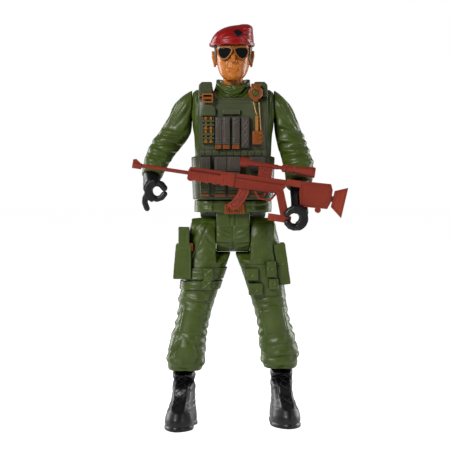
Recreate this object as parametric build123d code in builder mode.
from build123d import *
from math import cos, radians, sin, tan
import os

# A 12-inch class toy soldier, moulded in rigid plastic, standing with its rifle held across its front.
# The model is drawn about the body's centre line: x = 0 midway between the legs, y = 0 through the hip
# and shoulder axles, z = 0 at the soles. The figure faces -Y and its own left hand is on the +X side.
# save() then moves each piece to the row frame, whose origin is under the middle of the whole figure.

os.makedirs("parts", exist_ok=True)

# ---------------------------------------------------------------- driving dimensions, in millimetres
ROW_X = -4.8            # the body's centre line in the row frame
ROW_Y = 13.2
BOOT_TALL = 42.0        # sole to trouser hem
SHIN_TALL = 38.0        # hem to knee
THIGH_TALL = 66.0       # knee to hip axle
HIP_TO_BELT = 14.0
BELT_TALL = 9.0
TORSO_TALL = 80.4
SHOULDER_DROP = 10.0    # torso top down to the shoulder axle
NECK_RISE = 7.5         # torso top up to the chin
FACE_TALL = 26.0        # chin to the beret's lower edge
BERET_TALL = 16.5

WALL = 2.2              # moulded shell
SEAT = 0.2              # between two pieces of one body
RUN_GAP = 0.35          # between two bodies
SHAFT_GAP = 0.05        # radial, round a peg or screw

BLOCK_HALF = 12.4       # hip block, half its width
BLOCK_FRONT = 14.0
BLOCK_BACK = 13.6
CROTCH_R = 15.2         # underside of the hip block, about the hip axle
HIP_DISC_R = 10.8       # top of each thigh, about the hip axle
HIP_BOSS_R = 9.2        # round boss on the hip block that enters each thigh
HIP_BOSS_TALL = 1.2
HIP_SWEEP_R = 13.2      # furthest that a thigh reaches above its axle as it swings
PEG_R = 4.0             # shoulder, hip and neck pegs
FLANGE_R = 6.8
FLANGE_THICK = 2.4
POST_R = 5.0            # waist post
POST_FLANGE_R = 8.0
WRIST_PEG_R = 3.0
WRIST_PEG_LONG = 7.0
ARM_PLANE_X = 30.5      # inner face of each sleeve

BELT_THICK = 1.6
VEST_THICK = 2.6
STRAP_THICK = 3.2
STRAP_IN = 15.6         # shoulder strap, from the centre line
STRAP_OUT = 25.2
VEST_HALF = 25.5        # edge of the chest panel
COLLAR_THICK = 2.0
SCREW_R = 0.9
SCREW_HEAD_R = 2.0
SCREW_HEAD_TALL = 1.5

RIFLE_THICK = 5.0
RIFLE_FRONT_Y = -41.5
RIFLE_TILT = 8.5        # degrees, muzzle up
BARREL_R = 1.4
SCOPE_R = 1.75
GRIP_R = 3.4            # inside of a gripping hand

# ---------------------------------------------------------------- levels that follow from them
HEM_Z = BOOT_TALL
KNEE_Z = HEM_Z + SHIN_TALL
HIP_Z = KNEE_Z + THIGH_TALL
BELT_Z = HIP_Z + HIP_TO_BELT
WAIST_Z = BELT_Z + BELT_TALL
TORSO_Z = WAIST_Z + 0.6
TORSO_TOP_Z = TORSO_Z + TORSO_TALL
SHOULDER_Z = TORSO_TOP_Z - SHOULDER_DROP
CHIN_Z = TORSO_TOP_Z + NECK_RISE
BERET_Z = CHIN_Z + FACE_TALL
NECK_Y = 2.0            # neck axis, behind the shoulder axis
NECK_R = 7.4
NECK_WELL_Z = TORSO_TOP_Z - 3.0
TROUSER_TALL = HIP_Z - HEM_Z

# Rings of the lofted forms. Shares run from 0 at the bottom of the form to 1 at its top.
TORSO_RINGS = (  # share, half width, front reach, back reach, how far a thicker skin lifts it
    (0.00, 27.0, 15.0, 14.0, 0.0),
    (0.19, 27.8, 17.5, 15.3, 0.0),
    (0.42, 28.3, 19.3, 16.8, 0.0),
    (0.60, 29.0, 20.0, 18.0, 0.0),
    (0.76, 31.6, 19.4, 18.0, 0.1),
    (0.88, 32.4, 16.2, 16.4, 0.4),
    (0.95, 31.6, 12.0, 13.6, 0.8),
    (1.00, 27.0, 7.6, 9.8, 1.0),
)
LEG_RINGS = (  # share of the trouser, centre from the mid plane, half width, half depth
    (0.00, 35.8, 12.2, 12.4),
    (0.09, 35.2, 13.8, 13.8),
    (0.22, 33.2, 12.9, 13.4),
    (0.37, 29.9, 12.1, 12.9),
    (0.51, 26.6, 13.1, 13.5),
    (0.65, 23.4, 14.7, 14.2),
    (0.77, 20.6, 16.3, 14.0),
    (0.85, 18.9, 17.2, 13.3),
    (1.00, 20.2, 12.4, 13.0),
    (1.05, 20.6, 11.2, 10.4),
)
HEAD_RINGS = (  # share of the head, half width, front reach, back reach, from the mid plane
    (0.00, 4.6, 14.6, -6.0),
    (0.07, 8.0, 15.4, 2.0),
    (0.18, 10.4, 15.6, 9.0),
    (0.34, 11.9, 15.3, 14.5),
    (0.52, 12.7, 15.0, 17.3),
    (0.70, 12.9, 14.6, 18.0),
    (0.88, 11.4, 11.5, 16.2),
    (1.00, 6.8, 6.0, 10.5),
)
BERET_RINGS = (  # share of the beret, left reach, right reach, front reach, back reach
    (0.00, 16.6, 15.0, 17.2, 19.0),
    (0.20, 16.8, 15.2, 17.8, 20.2),
    (0.45, 14.8, 15.0, 16.6, 20.2),
    (0.66, 11.8, 14.8, 13.4, 18.6),
    (0.86, 5.4, 14.6, 8.4, 15.6),
    (0.95, -1.5, 13.6, 4.0, 11.6),
    (1.00, -5.5, 11.8, 0.5, 8.0),
)
BOOT_RINGS = (  # height, half width, toe reach, heel reach, how egg-shaped
    (0.0, 9.6, 30.6, 12.0, 1.0),
    (3.0, 10.4, 32.0, 13.0, 1.0),
    (8.5, 10.2, 31.6, 13.0, 1.0),
    (13.5, 9.4, 28.6, 12.6, 0.9),
    (18.0, 8.7, 21.5, 12.4, 0.6),
    (23.0, 8.2, 14.6, 12.2, 0.3),
    (29.0, 7.8, 10.4, 11.6, 0.0),
    (38.0, 7.6, 8.8, 10.8, 0.0),
    (46.6, 7.6, 8.6, 10.4, 0.0),
)
FOOT_TURN = 9.0         # degrees, toes out
BOOT_X = 37.0
STRIDE = 6.0            # the right foot stands this far forward and the left this far back

# Sleeves: inner and outer point of each ring in the front view, where the ring lies in depth, how deep
# it is, and how far it pitches forward.
ARM_RIGHT = (
    ((30.5, -11.3), (30.5, 10.6), 0.0, 11.3, 0.0),
    ((30.7, -15.5), (39.0, 5.2), 0.0, 11.8, 0.0),
    ((31.2, -19.5), (46.6, -7.0), 0.0, 11.8, 0.0),
    ((33.6, -25.0), (52.0, -16.2), -0.5, 11.2, 5.0),
    ((40.6, -34.2), (59.6, -26.6), -3.5, 10.3, 20.0),
    ((47.4, -43.6), (65.0, -38.8), -9.5, 9.3, 30.0),
    ((53.2, -55.3), (67.2, -51.5), -16.0, 7.8, 34.0),
)
ARM_LEFT = (
    ((30.5, -11.3), (30.5, 10.6), 0.0, 11.3, 0.0),
    ((30.7, -15.5), (38.6, 3.8), 0.0, 11.8, 0.0),
    ((31.2, -20.5), (46.0, -10.6), 0.0, 11.8, 0.0),
    ((32.6, -28.0), (51.0, -20.5), -1.0, 11.2, 5.0),
    ((35.0, -37.0), (56.0, -33.0), -4.0, 10.6, 16.0),
    ((37.4, -47.5), (59.0, -43.0), -12.0, 10.4, 32.0),
    ((38.6, -60.6), (57.8, -57.4), -22.6, 9.4, 40.0),
)
GRIP_RIGHT = (-55.8, -27.0, -64.2)   # centre of the right hand's grip, z from the shoulder
GRIP_LEFT = (44.4, -40.6, -83.4)


# ---------------------------------------------------------------- helpers
def level(z, x=0.0, y=0.0):
    """A horizontal plane at height z."""
    return Plane((x, y, z))


def front(y):
    """A plane facing the viewer in front of the figure: sketch x is +X and sketch y is +Z."""
    return Plane((0, y, 0), x_dir=(1, 0, 0), z_dir=(0, -1, 0))


def side(x):
    """A plane facing +X: sketch x is +Y and sketch y is +Z."""
    return Plane((x, 0, 0), x_dir=(0, 1, 0), z_dir=(1, 0, 0))


def block(x, y, z, mode=Mode.ADD):
    """A box given by its low and high limits along each axis."""
    centre = [(low + high) / 2 for low, high in (x, y, z)]
    with Locations(tuple(centre)):
        Box(x[1] - x[0], y[1] - y[0], z[1] - z[0], mode=mode)


def rod(start, end, radius, mode=Mode.ADD):
    """A round rod between two points."""
    axis = Vector(*end) - Vector(*start)
    with Locations(Plane(start, z_dir=axis).location):
        Cylinder(radius, axis.length, align=(Align.CENTER, Align.CENTER, Align.MIN), mode=mode)


def ball(centre, radius, mode=Mode.ADD):
    with Locations(centre):
        Sphere(radius, mode=mode)


RING_CORNER = 0.78      # corner radius of a body section, as a share of its short half


def rounded_ring(plane, half_x, half_y):
    """One cross-section of a lofted body: a rounded rectangle, its corners a share of the short half."""
    with BuildSketch(plane) as ring:
        RectangleRounded(2 * half_x, 2 * half_y, RING_CORNER * min(half_x, half_y))
    return ring.sketch


def oval_ring(plane, half_x, half_y, fullness=0.73):
    """One oval cross-section, always drawn from its +x point so that a loft doesn't twist."""
    quarters = ((1, 1), (-1, 1), (-1, -1), (1, -1))
    diagonal = [(sx * fullness * half_x, sy * fullness * half_y) for sx, sy in quarters]
    with BuildSketch(plane) as ring:
        with BuildLine():
            Spline((half_x, 0), diagonal[0], (0, half_y), diagonal[1], (-half_x, 0), diagonal[2], (0, -half_y),
                   diagonal[3], periodic=True)
        make_face()
    return ring.sketch


def torso_form(grow, mode=Mode.ADD):
    """The chest and back, or the outside of a layer that stands `grow` off them."""
    rings = []
    for share, half, fore, aft, lift in TORSO_RINGS:
        z = TORSO_Z + share * TORSO_TALL + grow * lift
        plane = level(z, y=(aft - fore) / 2)
        rings.append(rounded_ring(plane, half + grow, (fore + aft) / 2 + grow))
    loft(sections=rings, ruled=True, mode=mode)


def stride_y(hand, share):
    """How far a leg stands behind the hip axle: the left leg is a little back, the right one forward."""
    return hand * STRIDE * max(0.0, 1 - share) ** 1.5


def leg_form(hand, grow, mode=Mode.ADD):
    """The trouser leg on one side, +1 for the figure's left, or a layer that stands `grow` off it."""
    rings = []
    for share, centre, half, deep in LEG_RINGS:
        plane = level(HEM_Z + share * TROUSER_TALL, x=hand * centre, y=stride_y(hand, share))
        rings.append(oval_ring(plane, half + grow, deep + grow))
    loft(sections=rings, mode=mode)


def head_form(grow, mode=Mode.ADD):
    rings = []
    for share, half, fore, aft in HEAD_RINGS:
        z = CHIN_Z + share * (FACE_TALL + BERET_TALL - 5.0)
        if share in (0.0, 1.0):
            z += grow if share else -grow
        plane = level(z, y=(aft - fore) / 2)
        rings.append(oval_ring(plane, half + grow, (fore + aft) / 2 + grow))
    loft(sections=rings, mode=mode)


def ankle_plane(hand):
    """The ground under one ankle, turned so that its -y points along the foot."""
    return Plane((hand * BOOT_X, 1.5 + stride_y(hand, 0), 0)).rotated((0, 0, hand * FOOT_TURN))


def boot_ring(plane, half, toe, heel, egg):
    """One boot section, from an oval (egg = 0) to one with a full toe and a narrow heel (egg = 1)."""
    waist = half * (1 - 0.12 * egg)
    toe_x, toe_y = half * (0.73 + 0.21 * egg), -toe * (0.73 - 0.05 * egg)
    heel_x, heel_y = half * (0.73 - 0.08 * egg), 0.73 * heel
    with BuildSketch(plane) as ring:
        with BuildLine():
            Spline((waist, 0), (heel_x, heel_y), (0, heel), (-heel_x, heel_y), (-waist, 0), (-toe_x, toe_y),
                   (0, -toe), (toe_x, toe_y), periodic=True)
        make_face()
    return ring.sketch


def boot_form(hand, grow, mode=Mode.ADD):
    ankle = ankle_plane(hand)
    rings = []
    for z, half, toe, heel, egg in BOOT_RINGS:
        plane = Plane(ankle.from_local_coords((0, 0, z)), x_dir=ankle.x_dir, z_dir=ankle.z_dir)
        rings.append(boot_ring(plane, half + grow, toe + grow, heel + grow, egg))
    loft(sections=rings, ruled=True, mode=mode)


def arm_plane(hand, ring):
    """The plane, half width and half depth of one sleeve ring."""
    inner, outer, y, deep, pitch = ring
    inner = Vector(hand * inner[0], y, SHOULDER_Z + inner[1])
    outer = Vector(hand * outer[0], y, SHOULDER_Z + outer[1])
    chord = outer - inner
    depth = Vector(0, cos(radians(pitch)), -sin(radians(pitch)))
    along = chord.cross(depth) * -hand
    return Plane((inner + outer) * 0.5, x_dir=chord, z_dir=along), chord.length / 2, deep


def arm_form(hand, rings, grow, mode=Mode.ADD):
    """A sleeve: the shoulder cap, then the arm down to the cuff, which share a ring."""
    sections = []
    for ring in rings:
        plane, half, deep = arm_plane(hand, ring)
        sections.append(oval_ring(plane, half + grow, deep + grow))
    loft(sections=sections[:3], mode=mode)
    loft(sections=sections[2:], mode=mode)


def save(piece, name):
    """Move a finished piece to the row frame, label it and write it."""
    piece.part = piece.part.moved(Location((ROW_X, ROW_Y, 0)))
    piece.part.label = name
    export_step(piece.part, f"parts/{name}.step")


SIDES = ((1, "left"), (-1, "right"))

# ---------------------------------------------------------------- hips
# Two halves of the hip block, split at y = 0, close round the hip pegs and the waist post.
HIP_FLANGE_X = 3.0      # inner face of each hip peg's flange
HIP_FLANGE_OUT = HIP_FLANGE_X + FLANGE_THICK
POST_FOOT_Z = BELT_Z + 0.8
POST_FOOT_TALL = 2.4
HIP_HALF = 27.2         # hip block at the belt
HIP_SCREW_Z = HIP_Z - 10.5
SHELF_FRONT_Y = 1.5

def belt_outline(grow):
    """The hip block's outline at the belt, or one that much larger."""
    RectangleRounded(2 * (HIP_HALF + grow), 30.6 + 2 * grow, 11.5 + grow)


with BuildPart() as hip_shelves:                # behind the top of each thigh
    for hand, _ in SIDES:
        with BuildSketch(side(hand * (BLOCK_HALF - 1))):
            with Locations((SHELF_FRONT_Y, BELT_Z + 1)):
                Rectangle(BLOCK_BACK - SHELF_FRONT_Y, BELT_Z + 1 - HIP_Z, align=(Align.MIN, Align.MAX))
            with Locations((0, HIP_Z)):
                Circle(HIP_SWEEP_R + 0.5, mode=Mode.SUBTRACT)
        extrude(amount=hand * (HIP_HALF - BLOCK_HALF - 1.5))
    with BuildSketch(level(HIP_Z - CROTCH_R, y=-0.3)) as within:
        belt_outline(-0.4)
    extrude(within.sketch, amount=2 * CROTCH_R, mode=Mode.INTERSECT)

with BuildPart() as pelvis_front:
    with BuildSketch(side(0)) as profile:
        with Locations((0, HIP_Z)):
            Circle(CROTCH_R)
        with Locations(((BLOCK_BACK - BLOCK_FRONT) / 2, HIP_Z)):
            Rectangle(BLOCK_FRONT + BLOCK_BACK, 2 * CROTCH_R, mode=Mode.INTERSECT)
        with Locations((-BLOCK_FRONT, HIP_Z)):
            Rectangle(BLOCK_FRONT + BLOCK_BACK, HIP_TO_BELT, align=(Align.MIN, Align.MIN))
    extrude(amount=BLOCK_HALF, both=True)
    fillet(pelvis_front.edges().filter_by(Axis.Z), 1.6)
    with BuildSketch(level(BELT_Z, y=-0.3)):
        belt_outline(0)
    extrude(amount=BELT_TALL)
    for hand, _ in SIDES:
        rod((hand * (BLOCK_HALF - 1), 0, HIP_Z), (hand * (BLOCK_HALF + HIP_BOSS_TALL), 0, HIP_Z), HIP_BOSS_R)
    add(hip_shelves.part)
    # room for the hip pegs' flanges, their shafts and the waist post
    rod((-HIP_FLANGE_OUT - 0.3, 0, HIP_Z), (HIP_FLANGE_OUT + 0.3, 0, HIP_Z), FLANGE_R + 0.4, Mode.SUBTRACT)
    rod((-BLOCK_HALF - 2, 0, HIP_Z), (BLOCK_HALF + 2, 0, HIP_Z), PEG_R + SHAFT_GAP, Mode.SUBTRACT)
    rod((0, 0, POST_FOOT_Z), (0, 0, POST_FOOT_Z + POST_FOOT_TALL), POST_FLANGE_R, Mode.SUBTRACT)
    rod((0, 0, POST_FOOT_Z), (0, 0, WAIST_Z + 1), POST_R, Mode.SUBTRACT)
    # one screw from the back, under the hip pegs
    rod((0, BLOCK_BACK + 1, HIP_SCREW_Z), (0, -7, HIP_SCREW_Z), SCREW_R + SHAFT_GAP, Mode.SUBTRACT)
    rod((0, BLOCK_BACK + 1, HIP_SCREW_Z), (0, 6.0, HIP_SCREW_Z), SCREW_HEAD_R + 0.2, Mode.SUBTRACT)
    whole_hips = pelvis_front.part
    split(bisect_by=Plane.XZ, keep=Keep.TOP)
save(pelvis_front, "pelvis_front")

with BuildPart() as pelvis_back:
    add(whole_hips)
    split(bisect_by=Plane.XZ, keep=Keep.BOTTOM)
save(pelvis_back, "pelvis_back")

with BuildPart() as pelvis_screw:
    rod((0, -6.5, HIP_SCREW_Z), (0, 6.0, HIP_SCREW_Z), SCREW_R)
    rod((0, 6.0, HIP_SCREW_Z), (0, 6.0 + SCREW_HEAD_TALL, HIP_SCREW_Z), SCREW_HEAD_R)
save(pelvis_screw, "pelvis_screw")

with BuildPart() as waist_post:
    rod((0, 0, POST_FOOT_Z), (0, 0, POST_FOOT_Z + POST_FOOT_TALL), POST_FLANGE_R - 0.05)
    rod((0, 0, POST_FOOT_Z), (0, 0, TORSO_Z + 3 * WALL + 0.3), POST_R)
    rod((0, 0, TORSO_Z + 3 * WALL + 0.3), (0, 0, TORSO_Z + 4 * WALL + 0.3), POST_FLANGE_R)
save(waist_post, "waist_post")

with BuildPart() as belt:
    with BuildSketch(level(BELT_Z, y=-0.3)):
        belt_outline(BELT_THICK)
    extrude(amount=BELT_TALL - 0.4)
    with BuildSketch(level(BELT_Z, y=-0.3)):
        belt_outline(0.1)
    extrude(amount=BELT_TALL, mode=Mode.SUBTRACT)
    for x in (-16.6, 16.6):                     # belt loops
        block((x - 1.5, x + 1.5), (-18.1, -17.1), (BELT_Z - 0.2, WAIST_Z - 0.3))
        block((x - 1.5, x + 1.5), (16.5, 17.3), (BELT_Z - 0.2, WAIST_Z - 0.3))
save(belt, "belt")

BUCKLE_Z = BELT_Z - 0.6
with BuildPart() as belt_buckle:
    with BuildSketch(front(-17.2)):
        with Locations((1.0, BUCKLE_Z + 3.2)):
            RectangleRounded(15.6, 7.6, 1.2)
    extrude(amount=1.6)
    fillet(belt_buckle.faces().sort_by(Axis.Y)[0].edges(), 0.5)
    with BuildSketch(front(-17.7)):
        with Locations((1.0, BUCKLE_Z + 3.2)):
            RectangleRounded(9.0, 4.4, 0.8)
            Rectangle(1.4, 4.4, mode=Mode.SUBTRACT)
    extrude(amount=2.0, mode=Mode.SUBTRACT)
save(belt_buckle, "belt_buckle")

# ---------------------------------------------------------------- torso shell
CAVITY = (21.5, 11.0, 12.0)                     # half width, front and back reach of the hollow
CAVITY_Z = TORSO_Z + 3 * WALL
CAVITY_TOP_Z = NECK_WELL_Z - 3 * WALL
SHOULDER_FLANGE_X = CAVITY[0] - 0.6 - FLANGE_THICK
SCREWS = ((-12.0, 0.70), (12.0, 0.70), (-12.0, 0.25), (12.0, 0.25))   # x, share of the torso's height
SCREW_SEAT_Y = 15.0


def screw_height(share):
    return TORSO_Z + share * TORSO_TALL


def torso_screw_holes():
    for x, share in SCREWS:
        z = screw_height(share)
        rod((x, 30, z), (x, -9.5, z), SCREW_R + SHAFT_GAP, Mode.SUBTRACT)
        rod((x, 30, z), (x, SCREW_SEAT_Y, z), SCREW_HEAD_R + 0.2, Mode.SUBTRACT)


with BuildPart() as torso_front:
    torso_form(0)
    with BuildSketch(level(CAVITY_Z, y=(CAVITY[2] - CAVITY[1]) / 2)):
        RectangleRounded(2 * CAVITY[0], CAVITY[1] + CAVITY[2], 8.0)
    extrude(amount=CAVITY_TOP_Z - CAVITY_Z, mode=Mode.SUBTRACT)
    for x, share in SCREWS:
        rod((x, -CAVITY[1] - 1, screw_height(share)), (x, CAVITY[2] + 1, screw_height(share)), 3.0)
    for hand, _ in SIDES:
        rod((hand * 20, 0, SHOULDER_Z), (hand * 40, 0, SHOULDER_Z), PEG_R + SHAFT_GAP, Mode.SUBTRACT)
        rod((hand * (SHOULDER_FLANGE_X - 0.6), 0, SHOULDER_Z), (hand * (CAVITY[0] - 0.2), 0, SHOULDER_Z),
            FLANGE_R + 0.3, Mode.SUBTRACT)
        block(sorted((hand * (ARM_PLANE_X - RUN_GAP), hand * 40)), (-40, 40),
              (SHOULDER_Z - 36, TORSO_TOP_Z + 9), Mode.SUBTRACT)
    rod((0, NECK_Y, CAVITY_TOP_Z - 1), (0, NECK_Y, TORSO_TOP_Z + 1), PEG_R + SHAFT_GAP, Mode.SUBTRACT)
    rod((0, NECK_Y, NECK_WELL_Z), (0, NECK_Y, TORSO_TOP_Z + 1), NECK_R + RUN_GAP, Mode.SUBTRACT)
    rod((0, 0, TORSO_Z - 1), (0, 0, CAVITY_Z + 1), POST_R + SHAFT_GAP, Mode.SUBTRACT)
    torso_screw_holes()
    whole_torso = torso_front.part
    split(bisect_by=Plane.XZ, keep=Keep.TOP)
save(torso_front, "torso_front")

with BuildPart() as torso_back:
    add(whole_torso)
    split(bisect_by=Plane.XZ, keep=Keep.BOTTOM)
save(torso_back, "torso_back")

with BuildPart() as torso_screws:
    for x, share in SCREWS:
        z = screw_height(share)
        rod((x, -9.0, z), (x, SCREW_SEAT_Y, z), SCREW_R)
        rod((x, SCREW_SEAT_Y, z), (x, SCREW_SEAT_Y + SCREW_HEAD_TALL, z), SCREW_HEAD_R)
save(torso_screws, "torso_screws")

# ---------------------------------------------------------------- shirt collar
COLLAR_TALL = 9.4
COLLAR_FRONT_DROP = 5.2                         # the front edge lies lower than the sides

with BuildPart() as shirt_collar:
    base_z = TORSO_TOP_Z - 5.0
    top_z = TORSO_TOP_Z + COLLAR_TALL
    outer = [oval_ring(level(base_z, y=0.5), 16.2, 14.6),
             oval_ring(level(TORSO_TOP_Z + 1.5, y=0.6), 13.0, 13.0),
             oval_ring(level(top_z, y=1.6), 13.0, 13.2)]
    loft(sections=outer)
    inner = [oval_ring(level(base_z - 0.1, y=NECK_Y), NECK_R + 0.6, NECK_R + 0.6),
             oval_ring(level(TORSO_TOP_Z, y=NECK_Y), NECK_R + 1.0, NECK_R + 1.0),
             oval_ring(level(top_z + 0.1, y=1.6), 13.0 - COLLAR_THICK, 13.2 - COLLAR_THICK)]
    loft(sections=inner, mode=Mode.SUBTRACT)
    with BuildSketch(side(0)):                  # the sloping top edge
        with BuildLine():
            Polyline((-16, TORSO_TOP_Z + 3.2), (-9, TORSO_TOP_Z + 3.8), (0, top_z - 1.6), (8, top_z + 0.2),
                     (20, top_z - 1.6), (20, top_z + 8), (-16, top_z + 8), close=True)
        make_face()
    extrude(amount=20, both=True, mode=Mode.SUBTRACT)
    torso_form(SEAT, Mode.SUBTRACT)
save(shirt_collar, "shirt_collar")

# ---------------------------------------------------------------- load vest
VEST_LOW_Z = TORSO_Z + 1.0
VEST_FLARE_Z = TORSO_Z + 0.40 * TORSO_TALL      # where the narrow chest panel meets the wide lower band
NECKLINE_Z = TORSO_TOP_Z - 6.5
OVER_Z = TORSO_TOP_Z + 14                       # anywhere above the shoulders

with BuildPart() as chest_outline:              # the panel's outline, as a thick slab through the body
    with BuildSketch(front(0)):
        with BuildLine():
            Polyline((-40, VEST_LOW_Z), (40, VEST_LOW_Z), (40, VEST_FLARE_Z - 3), (VEST_HALF + 1, VEST_FLARE_Z),
                     (VEST_HALF, VEST_FLARE_Z + 6), (VEST_HALF, OVER_Z), (STRAP_IN - 0.6, OVER_Z),
                     (STRAP_IN - 0.6, NECKLINE_Z + 7), (11, NECKLINE_Z + 1), (-11, NECKLINE_Z + 1),
                     (0.6 - STRAP_IN, NECKLINE_Z + 7), (0.6 - STRAP_IN, OVER_Z), (-VEST_HALF, OVER_Z),
                     (-VEST_HALF, VEST_FLARE_Z + 6), (-VEST_HALF - 1, VEST_FLARE_Z), (-40, VEST_FLARE_Z - 3),
                     close=True)
        make_face()
    extrude(amount=50, both=True)

with BuildPart() as vest_front:
    torso_form(SEAT + VEST_THICK)
    torso_form(SEAT, Mode.SUBTRACT)
    add(chest_outline.part, mode=Mode.INTERSECT)
    whole_vest = vest_front.part
    split(bisect_by=Plane.XZ, keep=Keep.TOP)
save(vest_front, "vest_front")

with BuildPart() as vest_back:
    add(whole_vest)
    split(bisect_by=Plane.XZ, keep=Keep.BOTTOM)
    for x, share in SCREWS:
        z = screw_height(share)
        rod((x, 40, z), (x, SCREW_SEAT_Y - 2, z), SCREW_HEAD_R + 0.4, Mode.SUBTRACT)
save(vest_back, "vest_back")

STRAP_LOW_Z = NECKLINE_Z + 1.5
STRAP_PEAK = (19.4, TORSO_TOP_Z + 7.2)
for hand, name in SIDES:
    with BuildPart() as shoulder_strap:
        torso_form(2 * SEAT + VEST_THICK + STRAP_THICK)
        torso_form(2 * SEAT + VEST_THICK, Mode.SUBTRACT)
        with BuildSketch(front(-40)) as arch:
            with BuildLine() as arch_line:
                inner, outer = (hand * STRAP_IN, STRAP_PEAK[1] - 1.6), (hand * STRAP_OUT, STRAP_PEAK[1] - 3.6)
                ThreePointArc(inner, (hand * STRAP_PEAK[0], STRAP_PEAK[1]), outer)
                Polyline(outer, (hand * STRAP_OUT, STRAP_LOW_Z), (hand * STRAP_IN, STRAP_LOW_Z), inner)
            make_face(arch_line.edges())
        extrude(arch.sketch, amount=-80, mode=Mode.INTERSECT)
    save(shoulder_strap, f"shoulder_strap_{name}")

with BuildPart() as vest_skin:                  # everything inside the vest's outer face, to seat gear on
    torso_form(2 * SEAT + VEST_THICK)

with BuildPart() as strap_skin:
    torso_form(3 * SEAT + VEST_THICK + STRAP_THICK)

GEAR_BACK_Y = -10.0                             # gear is drawn to here, then cut to the vest

# Chest gear, as (low x, high x), height under the neckline (top, bottom) and front face.
MAG_TOP_Z = NECKLINE_Z - 13.5
MAG_LOW_Z = MAG_TOP_Z - 20.5
MAGS = ((-13.3, -8.4), (-7.8, -2.4), (-0.8, 4.8))
MAG_FRONT_Y = -27.2

with BuildPart() as chest_magazines:
    for low, high in MAGS:
        block((low, high), (MAG_FRONT_Y, GEAR_BACK_Y), (MAG_LOW_Z, MAG_TOP_Z))
    fillet(chest_magazines.faces().filter_by(Axis.Y).sort_by(Axis.Y)[:3].edges(), 0.8)
    add(vest_skin.part, mode=Mode.SUBTRACT)
save(chest_magazines, "chest_magazines")

with BuildPart() as magazine_tabs:
    for low, high in MAGS:
        block((low + 0.2, high - 0.2), (MAG_FRONT_Y + 0.4, GEAR_BACK_Y), (MAG_LOW_Z - 3.1, MAG_LOW_Z))
    fillet(magazine_tabs.faces().sort_by(Axis.Y)[:3].edges(), 0.6)
    add(vest_skin.part, mode=Mode.SUBTRACT)
save(magazine_tabs, "magazine_tabs")

SHEATH_X = (6.0, 11.6)
with BuildPart() as laced_sheath:
    block(SHEATH_X, (MAG_FRONT_Y + 0.3, GEAR_BACK_Y), (MAG_LOW_Z - 2.2, MAG_TOP_Z))
    fillet(laced_sheath.faces().sort_by(Axis.Y)[0].edges(), 0.7)
    add(vest_skin.part, mode=Mode.SUBTRACT)
save(laced_sheath, "laced_sheath")

SHELL_R = 1.15
SHELL_X = (-20.0, -16.3)
SHELL_LONG = 9.3
SHELL_Y = -25.1
SHELL_ROWS = (MAG_TOP_Z - SHELL_LONG, MAG_TOP_Z - 2 * SHELL_LONG - 0.4)
with BuildPart() as shotgun_shells:
    for x in SHELL_X:
        for z in SHELL_ROWS:
            rod((x, SHELL_Y, z), (x, SHELL_Y, z + SHELL_LONG), SHELL_R)
            rod((x, SHELL_Y, z), (x, SHELL_Y, z + 1.2), SHELL_R + 0.25)
save(shotgun_shells, "shotgun_shells")

with BuildPart() as shell_loops:
    low, high = SHELL_X[0] - 2.6, SHELL_X[1] + 2.4
    block((low, high), (SHELL_Y + 0.1, GEAR_BACK_Y), (SHELL_ROWS[1] - 0.4, MAG_TOP_Z))
    for z in SHELL_ROWS:
        block((low, high), (SHELL_Y - SHELL_R - 0.6, SHELL_Y + 1), (z + 2.6, z + 4.2))
        block((low, high), (SHELL_Y - SHELL_R - 0.6, SHELL_Y + 1), (z + 5.4, z + 7.0))
    for x in SHELL_X:
        rod((x, SHELL_Y, SHELL_ROWS[1] - 1), (x, SHELL_Y, MAG_TOP_Z + 2), SHELL_R + 0.25 + 0.1, Mode.SUBTRACT)
    add(vest_skin.part, mode=Mode.SUBTRACT)
save(shell_loops, "shell_loops")

with BuildPart() as name_tape:
    block((-8.2, 5.0), (-24.2, GEAR_BACK_Y), (NECKLINE_Z - 11.8, NECKLINE_Z - 7.8))
    add(vest_skin.part, mode=Mode.SUBTRACT)
save(name_tape, "name_tape")

with BuildPart() as chest_pad:
    block((-23.6, -12.8), (-24.6, GEAR_BACK_Y), (MAG_TOP_Z + 0.5, NECKLINE_Z - 4.4))
    fillet(chest_pad.edges().filter_by(Axis.Y).group_by(Axis.Z)[-1], 4.2)
    fillet(chest_pad.faces().sort_by(Axis.Y)[0].edges(), 1.0)
    add(vest_skin.part, mode=Mode.SUBTRACT)
save(chest_pad, "chest_pad")

WEB_TOP_Z = MAG_LOW_Z - 3.4
with BuildPart() as webbing:
    block((-24.5, 24.5), (-23.6, GEAR_BACK_Y), (WEB_TOP_Z - 4.4, WEB_TOP_Z))
    for step in range(9):
        x = -20.8 + 5.2 * step
        block((x, x + 0.7), (-30, -22.9), (WEB_TOP_Z - 5, WEB_TOP_Z + 1), Mode.SUBTRACT)
    add(vest_skin.part, mode=Mode.SUBTRACT)
save(webbing, "webbing")

# Lower pouches: x limits; each has a lid and, along its foot, a contrasting trim.
POUCHES = ((-24.0, -17.0), (-13.4, -5.2), (-3.8, 5.0), (12.0, 22.6))
POUCH_TOP_Z = WEB_TOP_Z - 5.0
POUCH_LOW_Z = VEST_LOW_Z + 3.4
POUCH_FRONT_Y = -27.2
LID_TALL = 11.0
with BuildPart() as vest_pouches:
    for low, high in POUCHES:
        block((low, high), (POUCH_FRONT_Y, GEAR_BACK_Y), (POUCH_LOW_Z, POUCH_TOP_Z - LID_TALL))
    fillet(vest_pouches.faces().sort_by(Axis.Y)[:4].edges(), 0.8)
    add(vest_skin.part, mode=Mode.SUBTRACT)
save(vest_pouches, "vest_pouches")

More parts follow.
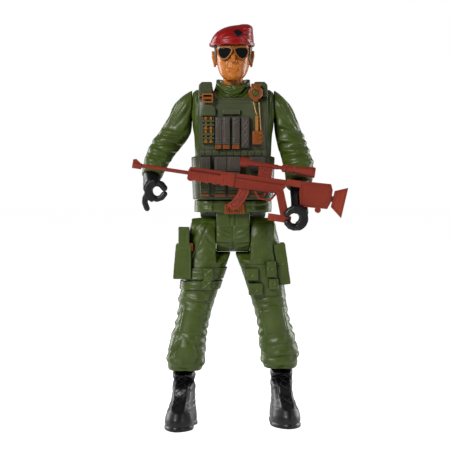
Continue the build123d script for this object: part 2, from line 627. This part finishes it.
with BuildPart() as pouch_lids:
    for low, high in POUCHES:
        block((low - 0.4, high + 0.4), (POUCH_FRONT_Y - 0.9, GEAR_BACK_Y),
              (POUCH_TOP_Z - LID_TALL, POUCH_TOP_Z))
    fillet(pouch_lids.faces().sort_by(Axis.Y)[:4].edges(), 0.8)
    add(vest_skin.part, mode=Mode.SUBTRACT)
save(pouch_lids, "pouch_lids")

with BuildPart() as pouch_trims:
    for low, high in POUCHES:
        block((low + 0.3, high - 0.3), (POUCH_FRONT_Y + 0.5, GEAR_BACK_Y), (POUCH_LOW_Z - 2.2, POUCH_LOW_Z))
    fillet(pouch_trims.faces().sort_by(Axis.Y)[:4].edges(), 0.5)
    add(vest_skin.part, mode=Mode.SUBTRACT)
save(pouch_trims, "pouch_trims")

# Left shoulder: a round lamp on the strap, with two leads down to a small radio.
LAMP_X = 16.4
LAMP_Z = NECKLINE_Z + 4.0
LAMP_FRONT_Y = -24.0
LAMP_R = 5.3
with BuildPart() as shoulder_lamp:
    with BuildSketch(front(LAMP_FRONT_Y)):
        with Locations((LAMP_X, LAMP_Z)):
            Circle(LAMP_R)
        with Locations((LAMP_X, LAMP_Z + LAMP_R)):
            Rectangle(6.4, 3.0)
        with Locations((LAMP_X, LAMP_Z - LAMP_R)):
            Rectangle(3.4, 2.4)
    extrude(amount=-16)
    fillet(shoulder_lamp.faces().sort_by(Axis.Y)[0].edges(), 0.7)
    rod((LAMP_X, LAMP_FRONT_Y - 1, LAMP_Z), (LAMP_X, LAMP_FRONT_Y + 1.2, LAMP_Z), 2.5, Mode.SUBTRACT)
    add(strap_skin.part, mode=Mode.SUBTRACT)
save(shoulder_lamp, "shoulder_lamp")

with BuildPart() as lamp_lens:
    rod((LAMP_X, LAMP_FRONT_Y - 0.1, LAMP_Z), (LAMP_X, LAMP_FRONT_Y + 1.2, LAMP_Z), 2.4)
    fillet(lamp_lens.faces().sort_by(Axis.Y)[0].edges(), 0.8)
save(lamp_lens, "lamp_lens")

RADIO_X = (13.7, 21.8)
RADIO_TOP_Z = MAG_LOW_Z + 10.2
RADIO_LOW_Z = RADIO_TOP_Z - 10.0
RADIO_FRONT_Y = -27.0
with BuildPart() as radio:
    block(RADIO_X, (RADIO_FRONT_Y, GEAR_BACK_Y), (RADIO_LOW_Z, RADIO_TOP_Z))
    fillet(radio.faces().sort_by(Axis.Y)[0].edges(), 0.6)
    add(vest_skin.part, mode=Mode.SUBTRACT)
save(radio, "radio")

with BuildPart() as radio_knobs:
    for step in range(3):
        z = RADIO_LOW_Z + 2.2 + 3.0 * step
        rod((RADIO_X[1] - 1.8, RADIO_FRONT_Y, z), (RADIO_X[1] - 1.8, RADIO_FRONT_Y - 0.9, z), 0.95)
save(radio_knobs, "radio_knobs")

with BuildPart() as radio_aerial:
    block((RADIO_X[0] + 2.4, RADIO_X[0] + 4.6), (RADIO_FRONT_Y + 0.6, RADIO_FRONT_Y + 2.6),
          (RADIO_TOP_Z, RADIO_TOP_Z + 11))
save(radio_aerial, "radio_aerial")

with BuildPart() as radio_leads:
    lead_foot_z = RADIO_TOP_Z + 11.6
    for start, end in (((LAMP_X - 1.6, 0), (RADIO_X[0] + 3.4, 0)),
                       ((LAMP_X + 2.4, 0), (RADIO_X[1] - 1.6, -11.3))):
        head_point = (start[0], LAMP_FRONT_Y + 1.2, LAMP_Z - LAMP_R - 1.5)
        foot_point = (end[0], RADIO_FRONT_Y + 1.4, lead_foot_z + end[1])
        rod(head_point, foot_point, 0.45)
save(radio_leads, "radio_leads")

with BuildPart() as strap_buckle:
    with BuildSketch(front(-24.2)):
        with Locations((-18.8, NECKLINE_Z + 0.2)):
            RectangleRounded(8.2, 6.6, 0.8)
            with Locations((0, 1.6), (0, -1.6)):
                Rectangle(6.0, 1.5, mode=Mode.SUBTRACT)
    extrude(amount=-14)
    add(strap_skin.part, mode=Mode.SUBTRACT)
save(strap_buckle, "strap_buckle")

# ---------------------------------------------------------------- head
HEAD_TOP_Z = CHIN_Z + FACE_TALL + BERET_TALL - 5.0
EYE_Z = CHIN_Z + 0.77 * FACE_TALL
NOSE_Z = CHIN_Z + 0.50 * FACE_TALL
MOUTH_Z = CHIN_Z + 0.30 * FACE_TALL
FACE_Y = -15.4
EAR_Z = CHIN_Z + 0.64 * FACE_TALL
EAR_X = 13.6

def nose_form(grow, mode=Mode.ADD):
    """A plain wedge, or the room that the sunglasses leave round it."""
    with BuildSketch(side(0)) as wedge:
        with BuildLine():
            Polyline((FACE_Y + 4, NOSE_Z + 8.2 + grow), (FACE_Y - 0.2 - grow, NOSE_Z + 7.2 + grow),
                     (FACE_Y - 3.0 - grow, NOSE_Z + 1.0), (FACE_Y - 2.4 - grow, NOSE_Z - 0.4 - grow),
                     (FACE_Y + 4, NOSE_Z - 1.0 - grow), close=True)
        make_face()
    extrude(wedge.sketch, amount=1.6 + grow, both=True, mode=mode)


with BuildPart() as head:
    head_form(0)
    rod((0, NECK_Y, NECK_WELL_Z + RUN_GAP), (0, NECK_Y, CHIN_Z + 6), NECK_R)
    nose_form(0)
    for x in (-1.7, 1.7):
        ball((x, FACE_Y - 0.6, NOSE_Z + 0.5), 1.25)
    with Locations((0, FACE_Y + 0.1, MOUTH_Z)):     # closed lips
        Cylinder(0.95, 7.4, rotation=(0, 90, 0))
    ball((0, FACE_Y + 2.4, CHIN_Z + 3.0), 3.4)      # chin
    for hand, _ in SIDES:                           # ears
        with BuildSketch(side(hand * (EAR_X - 2.2))):
            with Locations((2.6, EAR_Z)):
                Ellipse(2.7, 4.4)
        extrude(amount=hand * 2.9)
    rod((0, NECK_Y, NECK_WELL_Z - 1), (0, NECK_Y, CHIN_Z - 2), PEG_R + SHAFT_GAP, Mode.SUBTRACT)
save(head, "head")

with BuildPart() as neck_peg:
    rod((0, NECK_Y, CAVITY_TOP_Z - 0.4 - FLANGE_THICK), (0, NECK_Y, CAVITY_TOP_Z - 0.4), FLANGE_R)
    rod((0, NECK_Y, CAVITY_TOP_Z - 0.4 - FLANGE_THICK), (0, NECK_Y, CHIN_Z - 2.3), PEG_R)
save(neck_peg, "neck_peg")

HAIR_THICK = 0.9
with BuildPart() as hair:
    head_form(SEAT + HAIR_THICK)
    head_form(SEAT, Mode.SUBTRACT)
    with BuildSketch(side(0)):                      # sideburns in front of the ears, nape behind
        with BuildLine():
            Polyline((-4.6, BERET_Z - 0.3), (-4.6, EYE_Z - 3), (-1.6, EYE_Z - 6.5), (-0.6, EYE_Z - 1),
                     (5.8, EYE_Z - 1), (7.0, NOSE_Z - 3), (9.5, NOSE_Z - 7), (30, NOSE_Z - 7),
                     (30, BERET_Z - 0.3), close=True)
        make_face()
    extrude(amount=30, both=True, mode=Mode.INTERSECT)
    for hand, _ in SIDES:
        with BuildSketch(side(hand * (EAR_X - 3))):
            with Locations((2.6, EAR_Z)):
                Ellipse(3.1, 4.8)
        extrude(amount=hand * 6, mode=Mode.SUBTRACT)
save(hair, "hair")

GLASS_Y = FACE_Y - 1.6
LENS_X = 6.1
GLASS_WRAP = 14.0                                   # degrees, each side swept back


def lens_outline(hand, grow):
    """A drop-shaped lens about the sketch's origin, deeper on its outer half."""
    with BuildLine() as outline:
        Spline((-hand * (4.3 + grow), 2.6), (0, 3.5 + grow), (hand * (4.5 + grow), 2.3),
               (hand * (4.2 + grow), -1.8), (hand * 1.2, -4.3 - grow), (-hand * (2.8 + grow), -2.2),
               periodic=True)
    make_face(outline.edges())


def lens_plane(hand):
    wrap = radians(hand * GLASS_WRAP)
    return Plane((hand * LENS_X, GLASS_Y + 0.4, EYE_Z), x_dir=(cos(wrap), sin(wrap), 0),
                 z_dir=(sin(wrap), -cos(wrap), 0))


with BuildPart() as head_skin:
    head_form(SEAT)

with BuildPart() as sunglass_frame:
    for hand, _ in SIDES:
        with BuildSketch(lens_plane(hand)):
            lens_outline(hand, 1.1)
        extrude(amount=-4.0)
        with BuildSketch(lens_plane(hand).offset(0.1)):
            lens_outline(hand, 0)
        extrude(amount=-6.0, mode=Mode.SUBTRACT)
    rod((-1.5, GLASS_Y + 0.6, EYE_Z + 2.4), (1.5, GLASS_Y + 0.6, EYE_Z + 2.4), 0.6)
    add(head_skin.part, mode=Mode.SUBTRACT)
    nose_form(SEAT, Mode.SUBTRACT)
save(sunglass_frame, "sunglass_frame")

with BuildPart() as sunglass_lenses:
    for hand, _ in SIDES:
        with BuildSketch(lens_plane(hand).offset(-0.5)):
            lens_outline(hand, -0.35)
        extrude(amount=-3.4)
    add(head_skin.part, mode=Mode.SUBTRACT)
    nose_form(SEAT, Mode.SUBTRACT)
save(sunglass_lenses, "sunglass_lenses")


def beret_form(grow, mode=Mode.ADD):
    rings = []
    for share, left, right, fore, aft in BERET_RINGS:
        z = BERET_Z + share * (BERET_TALL + grow)
        plane = level(z, x=(right - left) / 2, y=(aft - fore) / 2)
        rings.append(oval_ring(plane, (left + right) / 2 + grow, (fore + aft) / 2 + grow))
    loft(sections=rings, mode=mode)


with BuildPart() as beret:
    beret_form(0)
    head_form(SEAT + 0.3, Mode.SUBTRACT)
save(beret, "beret")

BAND_TALL = 2.8
with BuildPart() as beret_band:
    with BuildSketch(level(BERET_Z - 0.2, x=-0.8, y=0.9)):
        Ellipse(17.6, 19.9)
    extrude(amount=BAND_TALL)
    fillet(beret_band.edges(), 0.9)
    beret_form(SEAT, Mode.SUBTRACT)
    with BuildSketch(level(BERET_Z - 1, x=-0.8, y=0.9)):
        Ellipse(15.0, 17.3)
    extrude(amount=2, mode=Mode.SUBTRACT)
save(beret_band, "beret_band")

BADGE_Z = BERET_Z + 9.6
with BuildPart() as beret_badge:
    rod((3.4, -19.0, BADGE_Z), (3.4, -8.0, BADGE_Z), 3.3)
    beret_form(SEAT, Mode.SUBTRACT)
    with BuildSketch(Plane((3.4, -15.2, BADGE_Z), x_dir=(1, 0, 0), z_dir=(0, -0.86, 0.5))):
        Rectangle(20, 20)
    extrude(amount=20, mode=Mode.SUBTRACT)
save(beret_badge, "beret_badge")

# ---------------------------------------------------------------- arms and gloves
SLEEVE_WELL = 8.6


def wrist_plane(hand, rings):
    """The plane of the sleeve's end, facing out of the sleeve."""
    return arm_plane(hand, rings[-1])[0]


def make_arm(hand, rings):
    arm_form(hand, rings, 0)
    rod((hand * (ARM_PLANE_X - 1), 0, SHOULDER_Z), (hand * (ARM_PLANE_X + 8), 0, SHOULDER_Z), PEG_R + SHAFT_GAP,
        Mode.SUBTRACT)
    end = wrist_plane(hand, rings)
    rod(end.origin + end.z_dir, end.origin - end.z_dir * SLEEVE_WELL, WRIST_PEG_R + SHAFT_GAP, Mode.SUBTRACT)


def make_glove(hand, rings, grip, wrist_r):
    """A gripping hand: a wrist, a palm and four fingers curled into a C about an axis along y."""
    end = wrist_plane(hand, rings)
    out = end.z_dir
    centre = Vector(grip[0], grip[1], SHOULDER_Z + grip[2])
    start = end.origin + out * RUN_GAP
    rod(end.origin - out * WRIST_PEG_LONG, start, WRIST_PEG_R)
    # wrist to palm
    palm = centre + Vector(hand * 3.4, 2.0, 2.6)
    toward = palm - start
    sections = [oval_ring(Plane(start, x_dir=end.x_dir, z_dir=out), wrist_r, wrist_r * 0.94),
                oval_ring(Plane(start + toward * 0.5, x_dir=end.x_dir, z_dir=out + toward.normalized()),
                          6.2, 7.0),
                oval_ring(Plane(palm, x_dir=end.x_dir, z_dir=toward), 6.4, 7.6)]
    loft(sections=sections)


with BuildPart() as arm_right:
    make_arm(-1, ARM_RIGHT)
save(arm_right, "arm_right")

with BuildPart() as arm_left:
    make_arm(1, ARM_LEFT)
save(arm_left, "arm_left")

for hand, name in SIDES:
    with BuildPart() as shoulder_peg:
        inner_x = SHOULDER_FLANGE_X
        rod((hand * inner_x, 0, SHOULDER_Z), (hand * (inner_x + FLANGE_THICK), 0, SHOULDER_Z), FLANGE_R)
        rod((hand * inner_x, 0, SHOULDER_Z), (hand * (ARM_PLANE_X + 7.5), 0, SHOULDER_Z), PEG_R)
    save(shoulder_peg, f"shoulder_peg_{name}")

FINGER_R = 2.15


def finger(points, radius):
    """A bent finger: a round-ended rod along each stretch between its joints."""
    for start, end in zip(points, points[1:]):
        rod(start, end, radius)
    for joint in points:
        ball(joint, radius)


def hook(centre, y, start, end, reach, radius):
    """A finger bent about the grip axis, between two angles seen from the front (0 points to +x, 90 up)."""
    angles = [radians(start + (end - start) * step / 3) for step in range(4)]
    finger([(centre.X + reach * cos(a), y, centre.Z + reach * sin(a)) for a in angles], radius)


def palm(centre, outer, start, end, y):
    """The part of the hand that lies round the grip between two angles: a thick arc along y."""
    middle, swing = radians((start + end) / 2), radians((end - start) / 2)
    far = 2 * outer / cos(swing / 2)
    with BuildSketch(front(y[0])) as arc:
        with Locations((centre.X, centre.Z)):
            Circle(outer)
            Circle(GRIP_R, mode=Mode.SUBTRACT)
        with BuildLine() as wedge:
            corners = [(centre.X, centre.Z)]
            for share in (-1, -0.5, 0, 0.5, 1):
                angle = middle + share * swing
                corners.append((centre.X + far * cos(angle), centre.Z + far * sin(angle)))
            Polyline(*corners, close=True)
        make_face(wedge.edges(), mode=Mode.INTERSECT)
    extrude(arc.sketch, amount=y[0] - y[1])


def grip_bore(centre):
    rod((centre.X, centre.Y - 20, centre.Z), (centre.X, centre.Y + 20, centre.Z), GRIP_R, Mode.SUBTRACT)


RIGHT_GRIP = Vector(GRIP_RIGHT[0], GRIP_RIGHT[1], SHOULDER_Z + GRIP_RIGHT[2])
LEFT_GRIP = Vector(GRIP_LEFT[0], GRIP_LEFT[1], SHOULDER_Z + GRIP_LEFT[2])
GRIP_LONG = 20.0
GRIP_FORE = 8.0         # how much of it lies in front of the grip's centre

with BuildPart() as hand_right:
    palm(RIGHT_GRIP, 8.6, 95, 250, (RIGHT_GRIP.Y - GRIP_FORE, RIGHT_GRIP.Y - GRIP_FORE + GRIP_LONG))
    make_glove(-1, ARM_RIGHT, GRIP_RIGHT, 6.4)
    for y in (-1.4, 3.0, 7.2):                      # three fingers below the grip
        hook(RIGHT_GRIP, RIGHT_GRIP.Y + y, 236, 338, 5.8, FINGER_R)
    hook(RIGHT_GRIP, RIGHT_GRIP.Y - 3.4, 118, 22, 6.1, FINGER_R + 0.25)         # thumb, over the top
    forefinger = [(RIGHT_GRIP.X + x, RIGHT_GRIP.Y - 5.6, RIGHT_GRIP.Z + z) for x, z in
                  ((-5.6, 0.5), (-8.2, -5.0), (-8.4, -8.6), (-6.8, -12.4))]
    finger(forefinger, FINGER_R)
    grip_bore(RIGHT_GRIP)
save(hand_right, "hand_right")


# ---------------------------------------------------------------- legs, boots and what they carry
LEG_PLANE_X = BLOCK_HALF + 0.4
LEG_TOP_OUT = 31.0
CROTCH_CLEAR = 0.5

for hand, name in SIDES:
    with BuildPart() as leg:
        leg_form(hand, 0)
        with BuildSketch(side(hand * LEG_PLANE_X)):
            with Locations((0, HIP_Z)):
                Circle(HIP_DISC_R)
        extrude(amount=hand * (LEG_TOP_OUT - LEG_PLANE_X), taper=6)
        # clear of the hip block all round the swing, with the inner thigh sloping away below it
        with BuildSketch(side(0)):
            with Locations((0, HIP_Z)):
                Circle(CROTCH_R + CROTCH_CLEAR)
            with BuildLine():
                low = HIP_Z - CROTCH_R - CROTCH_CLEAR
                Polyline((0, low), (22, low - 14), (22, HIP_Z + 30), (-22, HIP_Z + 30), (-22, low - 14),
                         close=True)
            make_face()
        extrude(amount=LEG_PLANE_X, both=True, mode=Mode.SUBTRACT)
        # recess for the hip block's boss, peg socket, and the well that the boot's top sits in
        rod((hand * (LEG_PLANE_X - 1), 0, HIP_Z), (hand * (BLOCK_HALF + HIP_BOSS_TALL + RUN_GAP), 0, HIP_Z),
            HIP_BOSS_R + RUN_GAP, Mode.SUBTRACT)
        rod((hand * (LEG_PLANE_X - 1), 0, HIP_Z), (hand * (LEG_PLANE_X + 10), 0, HIP_Z), PEG_R + SHAFT_GAP,
            Mode.SUBTRACT)
        boot_form(hand, SEAT, Mode.SUBTRACT)
    save(leg, f"leg_{name}")

for hand, name in SIDES:
    with BuildPart() as hip_peg:
        rod((hand * HIP_FLANGE_X, 0, HIP_Z), (hand * HIP_FLANGE_OUT, 0, HIP_Z), FLANGE_R)
        rod((hand * HIP_FLANGE_X, 0, HIP_Z), (hand * (LEG_PLANE_X + 9.5), 0, HIP_Z), PEG_R)
    save(hip_peg, f"hip_peg_{name}")

WELT = 0.5              # how far the sole stands out
SOLE_TALL = 2.8
for hand, name in SIDES:
    with BuildPart() as boot:
        boot_form(hand, 0)
        _, half, toe, heel, _ = BOOT_RINGS[1]
        sole = boot_ring(ankle_plane(hand), half + WELT, toe + WELT, heel + WELT, 1.0)
        extrude(sole, amount=SOLE_TALL)
    save(boot, f"boot_{name}")

# Right thigh: two straps, and a holster with a pistol in it.
STRAP_THIGH = 1.2
STRAP_LEVELS = ((-36.0, 8.6), (-43.6, 6.4))                     # low edge from the hip, height
with BuildPart() as leg_skin_right:
    leg_form(-1, 2 * SEAT + STRAP_THIGH)

with BuildPart() as thigh_straps:
    leg_form(-1, SEAT + STRAP_THIGH)
    leg_form(-1, SEAT, Mode.SUBTRACT)
    upper, lower = STRAP_LEVELS
    block((-60, 6), (-30, 30), (HIP_Z + upper[0] + upper[1], HIP_Z + 40), Mode.SUBTRACT)
    block((-60, 6), (-30, 30), (HIP_Z + lower[0] + lower[1], HIP_Z + upper[0]), Mode.SUBTRACT)
    block((-60, 6), (-30, 30), (HEM_Z - 10, HIP_Z + lower[0]), Mode.SUBTRACT)
save(thigh_straps, "thigh_straps")

with BuildPart() as strap_keepers:
    for x, low, tall in ((-18.2, -36.2, 9.0), (-19.6, -43.4, 7.2)):
        block((x - 3.6, x + 3.6), (-20.4, -6), (HIP_Z + low, HIP_Z + low + tall))
    fillet(strap_keepers.faces().sort_by(Axis.Y)[:2].edges(), 0.7)
    add(leg_skin_right.part, mode=Mode.SUBTRACT)
save(strap_keepers, "strap_keepers")

PISTOL_THICK = 3.0
PISTOL_Y = -13.6
PISTOL_X = (-39.0, -34.2)
PISTOL_Z = (HIP_Z - 33.7, HIP_Z - 6.8)
GRIP_END_X = -29.8
GRIP_Z = (HIP_Z - 14.6, HIP_Z - 7.6)
POCKET_GAP = 0.3
with BuildPart() as holster:
    with BuildSketch(front(0)):
        with BuildLine():
            Polyline((-42.4, HIP_Z - 9.6), (-31, HIP_Z - 9.6), (-31, HIP_Z - 35.4),
                     (-44.6, HIP_Z - 35.4), close=True)
        make_face()
    extrude(amount=16.8)
    fillet(holster.edges().filter_by(Axis.Y), 0.8)
    block((-40.6, -32.4), (-16.8, -2.2), (HIP_Z - 10.4, HIP_Z + 2.8))
    pocket_y = (PISTOL_Y - PISTOL_THICK / 2 - POCKET_GAP, PISTOL_Y + PISTOL_THICK / 2 + POCKET_GAP)
    block((PISTOL_X[0] - POCKET_GAP, PISTOL_X[1] + POCKET_GAP), pocket_y,
          (PISTOL_Z[0] - POCKET_GAP, HIP_Z + 4), Mode.SUBTRACT)
    block((PISTOL_X[0] - POCKET_GAP, -20), pocket_y, (GRIP_Z[0] - POCKET_GAP, HIP_Z + 4), Mode.SUBTRACT)
    add(leg_skin_right.part, mode=Mode.SUBTRACT)
save(holster, "holster")

with BuildPart() as pistol:
    with BuildSketch(front(PISTOL_Y)):
        with BuildLine():
            Polyline((PISTOL_X[0], PISTOL_Z[0]), (PISTOL_X[1] - 1.4, PISTOL_Z[0]), (PISTOL_X[1], PISTOL_Z[0] + 6),
                     (PISTOL_X[1], GRIP_Z[0] + 0.6), (GRIP_END_X, GRIP_Z[0]), (GRIP_END_X, GRIP_Z[1] - 1.6),
                     (PISTOL_X[1], GRIP_Z[1]), (PISTOL_X[1], PISTOL_Z[1] - 1.0), (PISTOL_X[1] - 1.0, PISTOL_Z[1]),
                     (PISTOL_X[0], PISTOL_Z[1]), close=True)
        make_face()
    extrude(amount=PISTOL_THICK / 2, both=True)
save(pistol, "pistol")

# Left thigh: a panel that carries four small pouches, and a longer pouch on the outside.
PANEL_THICK = 0.7
with BuildPart() as leg_skin_left:
    leg_form(1, 2 * SEAT + PANEL_THICK)

with BuildPart() as thigh_panel:
    leg_form(1, SEAT + PANEL_THICK)
    leg_form(1, SEAT, Mode.SUBTRACT)
    block((9.4, 33.0), (-30, -4), (HIP_Z - 48.0, HIP_Z - 25.0), Mode.INTERSECT)
save(thigh_panel, "thigh_panel")

THIGH_POUCHES = (  # low x, high x, low edge and top edge from the hip, front face
    (8.8, 18.8, -36.5, -27.5, -17.0),
    (11.6, 22.0, -47.4, -38.6, -16.4),
    (24.6, 32.0, -34.2, -22.2, -16.2),
    (26.4, 33.8, -43.4, -35.2, -15.4),
)
with BuildPart() as thigh_pouches:
    for low_x, high_x, low, top, y in THIGH_POUCHES:
        block((low_x, high_x), (y, -2), (HIP_Z + low, HIP_Z + top))
    fillet(thigh_pouches.faces().filter_by(Axis.Y).sort_by(Axis.Y)[:4].edges(), 0.8)
    add(leg_skin_left.part, mode=Mode.SUBTRACT)
save(thigh_pouches, "thigh_pouches")

with BuildPart() as side_pouch:
    with BuildSketch(front(-11.5)):
        with BuildLine():
            Polyline((29.6, HIP_Z - 10), (38.6, HIP_Z - 9), (43.0, HIP_Z - 39.5), (34.0, HIP_Z - 40.5),
                     close=True)
        make_face()
    extrude(amount=-17)
    fillet(side_pouch.edges().filter_by(Axis.Y), 0.9)
    add(leg_skin_left.part, mode=Mode.SUBTRACT)
    for low_x, high_x, low, top, y in THIGH_POUCHES:
        block((low_x - 1, high_x + SEAT), (y - 1, 0), (HIP_Z + low - SEAT, HIP_Z + top + SEAT), Mode.SUBTRACT)
save(side_pouch, "side_pouch")

# ---------------------------------------------------------------- rifle, one moulding
MUZZLE = (-70.2, RIFLE_FRONT_Y + RIFLE_THICK / 2, SHOULDER_Z - 45.2)
TILT = radians(RIFLE_TILT)
RIFLE = Plane(MUZZLE, x_dir=(cos(TILT), 0, -sin(TILT)), z_dir=(0, -1, 0))
SCOPE_V = 13.5          # scope axis above the bore


def on_rifle(along, above, across=0.0):
    """A point of the rifle: along the bore from the muzzle, above it, and out of its flat side."""
    return RIFLE.from_local_coords((along, above, across))


def plate(points, thick, mode=Mode.ADD):
    """A flat piece of the rifle with the given outline, its thickness centred on the bore."""
    with BuildSketch(RIFLE) as flat:
        with BuildLine():
            Polyline(*points, close=True)
        make_face()
    extrude(flat.sketch, amount=thick / 2, both=True, mode=mode)


with BuildPart() as rifle:
    rod(on_rifle(2, 0), on_rifle(42, 0), BARREL_R)
    rod(on_rifle(-2.4, -0.4), on_rifle(4.2, -0.4), 2.2)
    plate(((-2.4, 0), (-2.4, 3.8), (-0.3, 4.4), (4.6, 1.0), (4.6, -1)), 1.8)
    # handguard with a scalloped underside
    plate(((38, -4.4), (38, 2.0), (39.2, 4.6), (72, 4.8), (72, -5.4), (39.6, -5.6)), RIFLE_THICK + 1.2)
    with BuildSketch(RIFLE) as scallops:
        with Locations(*[(43.4 + 5.8 * step, -7.6) for step in range(5)]):
            Circle(2.9)
    extrude(scallops.sketch, amount=RIFLE_THICK, both=True, mode=Mode.SUBTRACT)
    # receiver and the blocks behind it
    plate(((71, -5.6), (71, 4.8), (110, 5.4), (110, 1.4), (107, -2.6), (102, -4.8), (92, -5.2)), RIFLE_THICK)
    plate(((109, 1.4), (109, 6.2), (120, 6.2), (120, 1.4)), RIFLE_THICK + 0.8)
    # magazine, curved towards the muzzle
    with BuildSketch(RIFLE) as magazine:
        with BuildLine():
            ThreePointArc((76.0, -5.0), (74.2, -12.2), (69.0, -18.4))
            Line((69.0, -18.4), (73.2, -21.6))
            Line((73.2, -21.6), (76.4, -20.8))
            ThreePointArc((76.4, -20.8), (81.4, -13.6), (83.6, -5.0))
            Line((83.6, -5.0), (76.0, -5.0))
        make_face()
    extrude(magazine.sketch, amount=RIFLE_THICK / 2 - 0.5, both=True)
    # trigger and its guard
    plate(((86.4, -4.6), (87.4, -7.2), (91.0, -11.2), (99.6, -11.6), (104.4, -4.6)), 2.6)
    plate(((88.2, -5.4), (88.8, -6.8), (91.6, -10.0), (98.8, -10.4), (102.0, -5.4)), 4, Mode.SUBTRACT)
    plate(((94.2, -4.8), (96.6, -4.8), (95.4, -8.0), (94.2, -9.0)), 1.6)
    # pistol grip and its foot
    plate(((102.2, -3.4), (107.8, -2.0), (115.0, -21.0), (108.6, -21.0)), RIFLE_THICK)
    plate(((99.6, -20.2), (116.2, -20.2), (116.2, -25.2), (99.6, -25.2)), RIFLE_THICK)
    # stock, neck and butt plate
    plate(((119, 6.2), (141, 7.2), (142.8, 3.0), (142.8, -5.6), (140.9, -11.0), (121.3, -12.1), (119.4, -3)),
          RIFLE_THICK)
    rod(on_rifle(134.4, -12.7, -RIFLE_THICK / 2), on_rifle(134.4, -12.7, RIFLE_THICK / 2), 2.1)
    plate(((142, -5.4), (142, -1.2), (146, -1.2), (146, -5.4)), RIFLE_THICK - 1.5)
    plate(((144.6, 2.7), (153.6, 6.2), (151.8, -15.9), (143.5, -9.2)), RIFLE_THICK)
    # scope: bells, tube and knurled rings turned about its own axis
    with BuildSketch(RIFLE) as scope_half:
        with BuildLine():
            Polyline(*[(u, SCOPE_V + r) for u, r in (
                (74, 0), (74, 3.9), (78.5, 3.6), (84, SCOPE_R), (101, SCOPE_R), (102, 1.4), (104, 1.4), (105, 2.9),
                (107.4, 2.9), (107.8, 2.4), (109.2, 2.4), (109.6, 2.9), (112.4, 2.9), (113.4, 2.4), (126, 3.8),
                (128.4, 3.8), (128.4, 0))], close=True)
        make_face()
    revolve(scope_half.sketch, axis=Axis(on_rifle(0, SCOPE_V), RIFLE.x_dir))
    plate(((88, 4.6), (88, 12.4), (97.6, 12.4), (97.6, 4.6)), 4.0)
    # grooves along both sides
    for face in (-1, 1):
        guard_face = RIFLE.offset(face * (RIFLE_THICK / 2 + 0.6))
        with BuildSketch(guard_face) as slot:
            with Locations((50.6, 2.0)):
                Rectangle(21.6, 1.3)
        extrude(slot.sketch, amount=-face * 1.0, dir=RIFLE.z_dir, mode=Mode.SUBTRACT)
        with BuildSketch(RIFLE.offset(face * RIFLE_THICK / 2)) as line:
            with Locations((90.0, 1.6)):
                Rectangle(34.0, 0.8)
        extrude(line.sketch, amount=-face * 0.5, dir=RIFLE.z_dir, mode=Mode.SUBTRACT)
save(rifle, "rifle")

# ---------------------------------------------------------------- left hand, wrapped round the rifle's grip
# The palm passes through the gap between grip and stock; the fingers lie in front of the rifle's flat side.
SLAB_Y = (RIFLE_FRONT_Y - 0.4 - RUN_GAP, RIFLE_FRONT_Y + RIFLE_THICK + 0.4 + RUN_GAP)
GRIP_EDGE_X = on_rifle(116.2, -22.7).X + 0.5
STOCK_EDGE = on_rifle(121.3, -12.1)
STOCK_LOW = on_rifle(131.0, -11.6)
TANG = on_rifle(118.0, 1.4)

with BuildPart() as hand_left:
    palm(LEFT_GRIP, 9.2, -75, 100, (LEFT_GRIP.Y - GRIP_FORE, LEFT_GRIP.Y - GRIP_FORE + GRIP_LONG))
    make_glove(1, ARM_LEFT, GRIP_LEFT, 7.4)
    hook(LEFT_GRIP, LEFT_GRIP.Y - 5.6, 290, 208, 6.6, FINGER_R + 0.3)
    hook(LEFT_GRIP, LEFT_GRIP.Y - 5.4, 85, 152, 6.8, FINGER_R + 0.4)
    hook(LEFT_GRIP, LEFT_GRIP.Y + 6.6, 290, 215, 6.4, FINGER_R)
    grip_bore(LEFT_GRIP)
    block((0, GRIP_EDGE_X), SLAB_Y, (LEFT_GRIP.Z - 40, LEFT_GRIP.Z + 60), Mode.SUBTRACT)
    block((STOCK_EDGE.X - 1.2, 90), SLAB_Y, (STOCK_LOW.Z - RUN_GAP, STOCK_LOW.Z + 60), Mode.SUBTRACT)
    block((0, 90), SLAB_Y, (TANG.Z - RUN_GAP, TANG.Z + 60), Mode.SUBTRACT)
save(hand_left, "hand_left")
